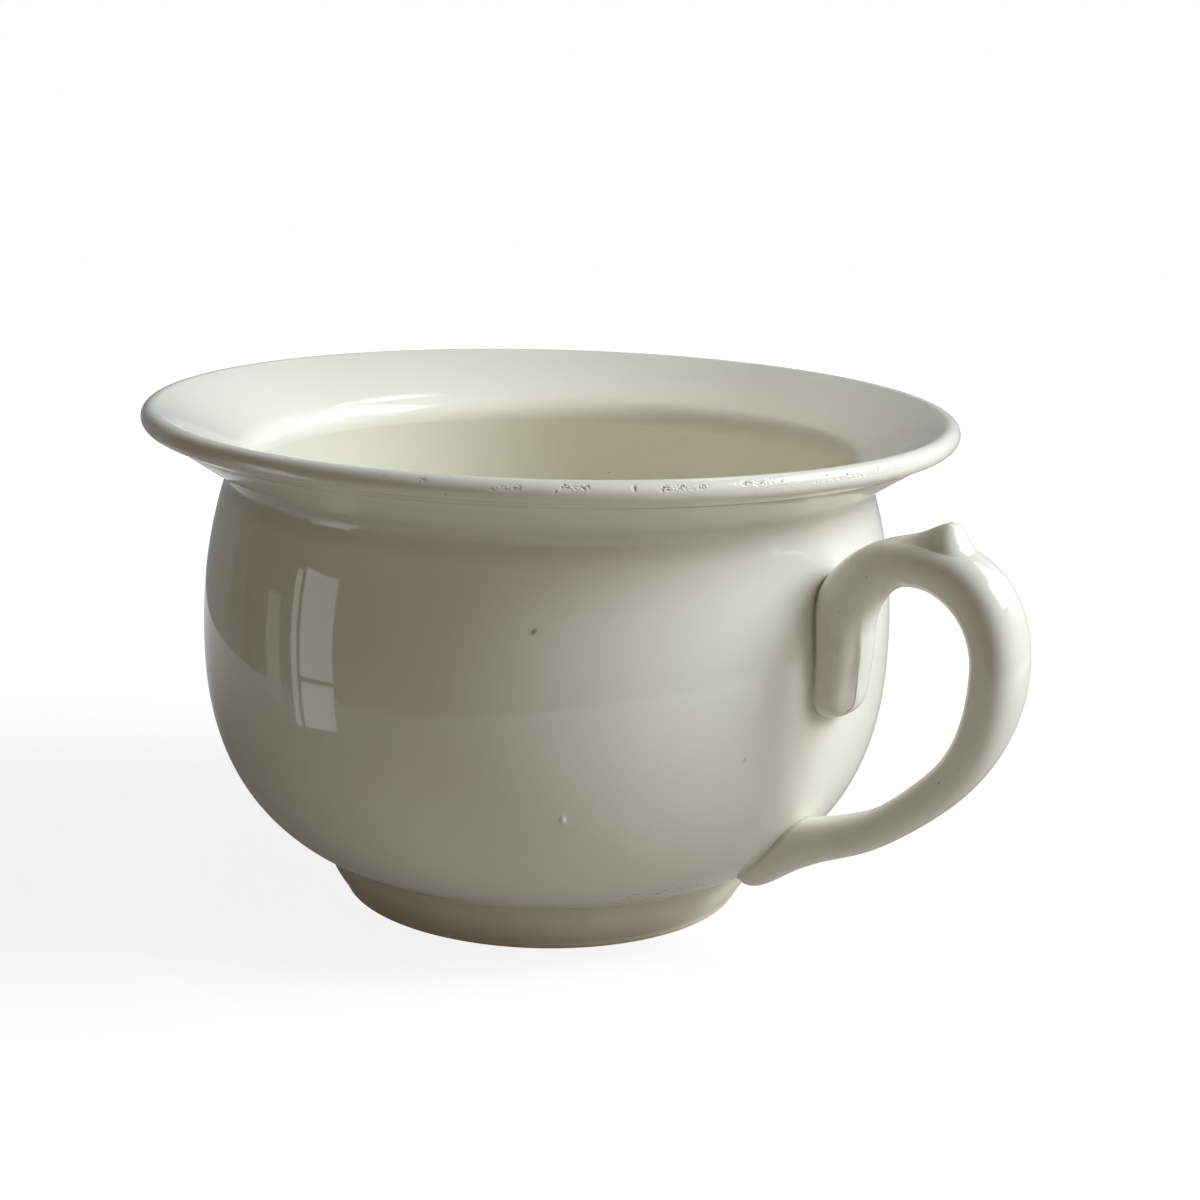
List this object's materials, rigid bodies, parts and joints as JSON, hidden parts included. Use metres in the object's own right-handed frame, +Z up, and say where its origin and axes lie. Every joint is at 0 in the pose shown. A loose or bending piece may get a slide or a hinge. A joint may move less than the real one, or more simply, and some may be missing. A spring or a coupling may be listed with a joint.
{
  "type": "chamber pot",
  "caption": "Round-bellied glazed earthenware chamber pot with a wide flared rim, a low foot ring and a loop handle with a thumb rest.",
  "frame": {"origin": "centre of the foot ring on the surface that the pot stands on", "axes": "+Z up along the bowl's turning axis, +X towards the handle"},
  "size_m": [0.2674, 0.229, 0.1415],
  "materials": {
    "white_glaze": "glossy cream-white lead glaze with fine specks and small chips",
    "clay_slip": "fired clay slip under a thin glaze"
  },
  "bodies": {
    "root": {"bowl": "white_glaze", "rim": "white_glaze", "foot_ring": "white_glaze", "foot_slip": "clay_slip", "handle": "white_glaze", "thumb_rest": "white_glaze", "upper_slip": "clay_slip", "lower_slip": "clay_slip"}
  },
  "joints": []
}
